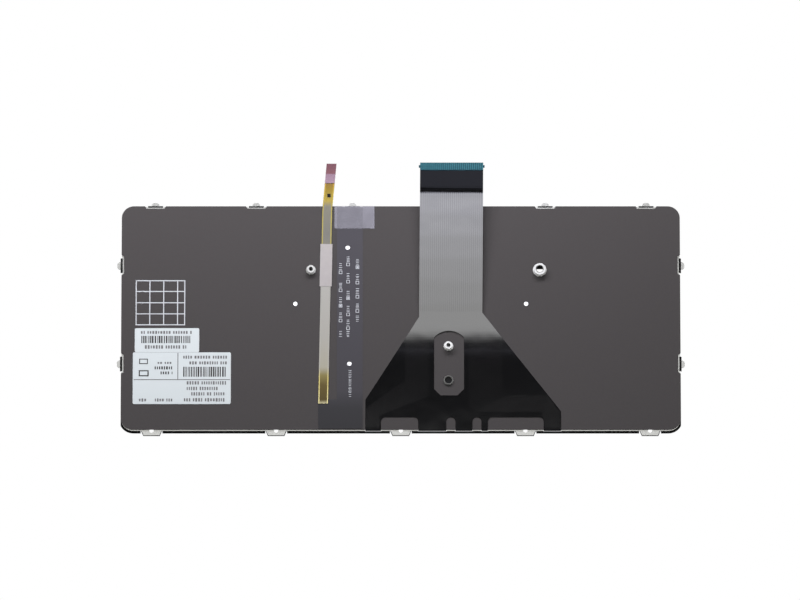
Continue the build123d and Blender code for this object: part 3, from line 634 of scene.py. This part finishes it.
# Contact lines on the tail's stiffener
stiffener_low, stiffener_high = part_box("tail_stiffener")
stiffener_height = surface_of(nodes["tail_stiffener"].data)
contacts = []
first = (stiffener_low[0] + stiffener_high[0]) / 2 / MM - MIDDLE_X / MM - (CONDUCTORS - 1) / 2
contact_span = ((stiffener_low[1] - MIDDLE_Y) / MM + 0.35, (stiffener_high[1] - MIDDLE_Y) / MM - 0.3)
for n in range(CONDUCTORS):
    ends = [(first + n, y) for y in contact_span]
    contacts += strip([*stepped(*ends, 0.6), ends[1]], 0.4, stiffener_height)
piece("tail_contacts", contacts, CONTACT)

# Camera: almost overhead, long lens
TILT = math.radians(75)
MM_PER_PIXEL = 0.5045
DISTANCE = 6.0
target = Vector((*place(-0.4, 9.24), film_high[2]))
camera_data = bpy.data.cameras.new("camera")
camera_data.sensor_width = 36.0
camera_data.lens = 36.0 * DISTANCE / (800 * MM_PER_PIXEL * MM)
camera_data.clip_end = 50.0
camera = bpy.data.objects.new("camera", camera_data)
towards = Vector((0, -math.cos(TILT), math.sin(TILT)))
camera.location = target + towards * DISTANCE
camera.rotation_euler = (-towards).to_track_quat("-Z", "Y").to_euler()
bpy.context.scene.collection.objects.link(camera)
bpy.context.scene.camera = camera


# Floor that the camera sees as plain white
def floor_material():
    made, tree = material("floor")
    ray = add(tree, "ShaderNodeLightPath")
    seen = add(tree, "ShaderNodeEmission", {"Color": (1, 1, 1, 1), "Strength": 1.0})
    matt = add(tree, "ShaderNodeBsdfDiffuse", {"Color": colour("505052")})
    looks = {1: matt.outputs[0], 2: seen.outputs[0]}
    mixed = add(tree, "ShaderNodeMixShader", {0: ray.outputs["Is Camera Ray"], **looks})
    finish_material(tree, mixed)
    return made


floor_mesh = bpy.data.meshes.new("floor")
floor_shape = bmesh.new()
bmesh.ops.create_grid(floor_shape, x_segments=1, y_segments=1, size=6.0)
floor_shape.to_mesh(floor_mesh)
floor_shape.free()
floor = bpy.data.objects.new("floor", floor_mesh)
for vertex in floor_mesh.vertices:
    vertex.co.z = -0.02 * MM
floor_mesh.materials.append(floor_material())
bpy.context.scene.collection.objects.link(floor)


# Studio light
def panel(name, where, aim, width, height, radiance, tint="ffffff"):
    """A soft box, as bright as its radiance whatever its size."""
    light = bpy.data.lights.new(name, "AREA")
    light.shape = "RECTANGLE"
    light.size = width
    light.size_y = height
    light.energy = radiance * math.pi * width * height
    light.color = colour(tint)[:3]
    made = bpy.data.objects.new(name, light)
    made.location = where
    made.rotation_euler = (Vector(aim) - Vector(where)).to_track_quat("-Z", "Y").to_euler()
    made.visible_camera = False
    bpy.context.scene.collection.objects.link(made)
    return made


# The overhead panel fades out towards the back, and a near one brightens the top of the tail
panel("overhead", (0.0, -0.045, 2.0), (0.0, -0.045, 0.0), 1.4, 0.72, 2.25)
for n, radiance in enumerate((1.95, 1.6, 1.15, 0.7, 0.3)):
    y = 0.325 + 0.02 * n
    panel(f"overhead edge {n}", (0.0, y, 2.0), (0.0, y, 0.0), 1.4, 0.02, radiance)
crest_x = MIDDLE_X + 25 * MM
for n, radiance in enumerate((0.2, 0.5, 0.9, 1.5, 2.1, 2.7)):
    y = 0.03 + 0.012 * n
    panel(f"crest {n}", (crest_x, y, 0.2), (crest_x, y, 0.0), 0.08, 0.012, radiance, "eeeeff")
panel("high back", (0.0, 0.70, 1.0), (0.0, 0.0, 0.0), 1.0, 0.36, 0.22, "e0e4ff")
LOW_LIGHT = ((-0.07, 0.40, 0.25), (-0.02, 0.0, 0.0), 0.75, 0.12)
back = panel("back", *LOW_LIGHT, 34.0, "f4f5ff")
back.visible_glossy = False
back_on_metal = panel("back on metal", *LOW_LIGHT, 15.0, "f4f5ff")
panel("left", (-1.6, 0.5, 1.3), (0.0, 0.0, 0.0), 1.2, 1.0, 1.4)
panel("right", (1.6, -0.2, 1.3), (0.0, 0.0, 0.0), 1.2, 1.0, 0.8)

# Only the metal mirrors the low back light, which would burn out the sheets from the front
metal_pieces = bpy.data.collections.new("metal pieces")
for name in ("base_plate", "threaded_bosses"):
    metal_pieces.objects.link(smooth[name])
back_on_metal.light_linking.receiver_collection = metal_pieces

world = bpy.data.worlds.new("world")
world.use_nodes = True
bpy.context.scene.world = world
backdrop = world.node_tree.nodes["Background"]
backdrop.inputs["Color"].default_value = (1.0, 1.0, 1.0, 1.0)
backdrop.inputs["Strength"].default_value = 0.025

bpy.context.scene.view_settings.view_transform = "Standard"
